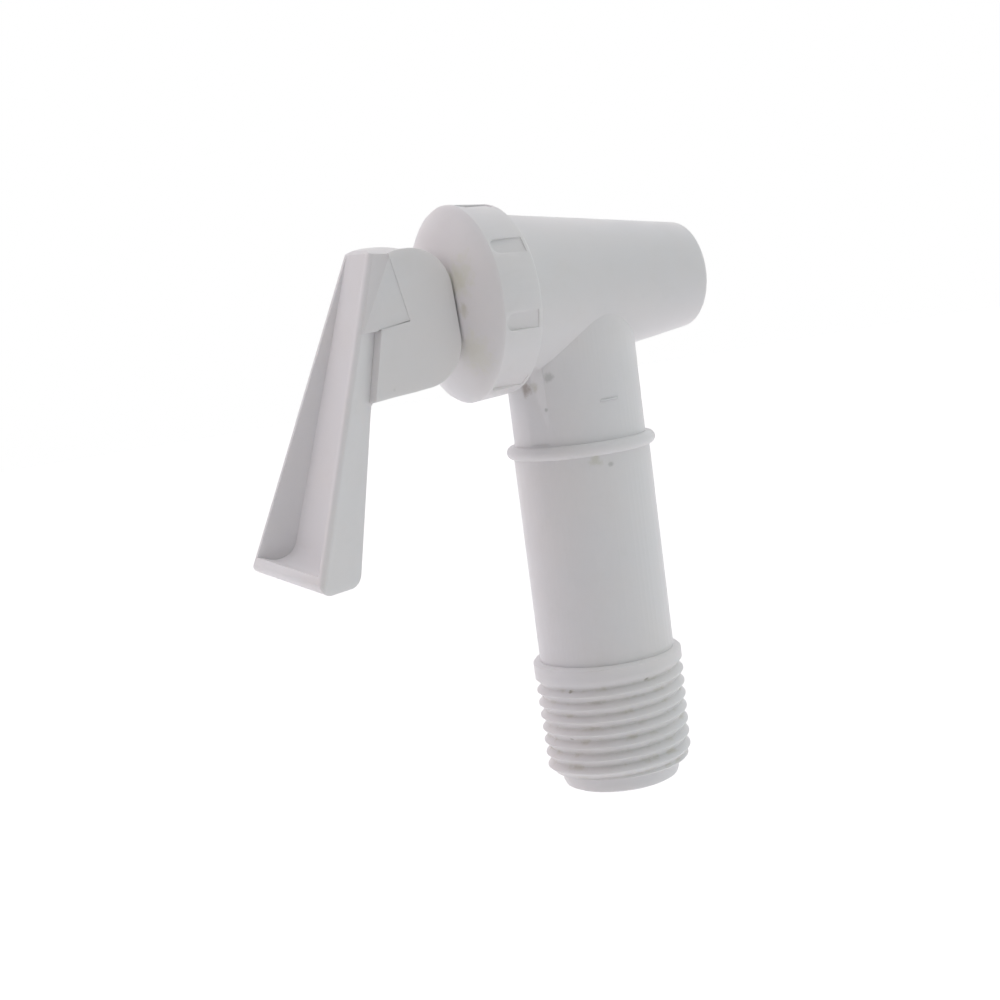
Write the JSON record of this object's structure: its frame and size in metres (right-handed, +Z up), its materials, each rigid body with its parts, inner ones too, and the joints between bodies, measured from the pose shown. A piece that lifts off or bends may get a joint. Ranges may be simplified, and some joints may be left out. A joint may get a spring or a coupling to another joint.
{
  "type": "dispenser faucet",
  "caption": "White moulded drinks-dispenser faucet with a rocking flared lever, a grip-notched screw bonnet, a tapered spout barrel and a long threaded shank.",
  "frame": {"origin": "point on the shank's axis where the half-inch pipe thread starts, just under the shoulder", "axes": "+Z up along the shank to the spout barrel, +X along the barrel to its open end, +Y to the left of someone looking along +X"},
  "size_m": [0.065, 0.0264, 0.0826],
  "materials": {
    "white_moulding": "satin, lightly soiled",
    "silicone": "milky",
    "stem_moulding": "satin",
    "stainless": "drawn wire"
  },
  "bodies": {
    "housing": {"body": "white_moulding", "bonnet": "white_moulding", "seat_cup": "silicone"},
    "swivel_carrier": {"thrust_washer": "stainless", "spring": "stainless"},
    "stem_set": {"stem": "stem_moulding", "handle_pin": "stainless"},
    "lever_handle": {"handle": "white_moulding"}
  },
  "joints": [
    {"name": "handle_swivel", "type": "hinge", "parent": "housing", "child": "swivel_carrier", "pos_m": [0, 0, 0.0546], "axis": [1, 0, 0], "continuous": true},
    {"name": "stem_lift", "type": "slide", "parent": "swivel_carrier", "child": "stem_set", "axis": [-1, 0, 0], "range_m": [0, 0.00153], "stiffness_N_per_m": 100, "springref_m": -0.003, "deforming": ["spring", "seat_cup"]},
    {"name": "handle_tilt", "type": "hinge", "parent": "stem_set", "child": "lever_handle", "pos_m": [-0.025, 0, 0.0546], "axis": [0, -0.9992, -0.0401], "range_deg": [0, 25]}
  ],
  "couplings": [
    {"joint": "handle_tilt", "follows": "stem_lift", "rad_per_m": 285.71}
  ]
}
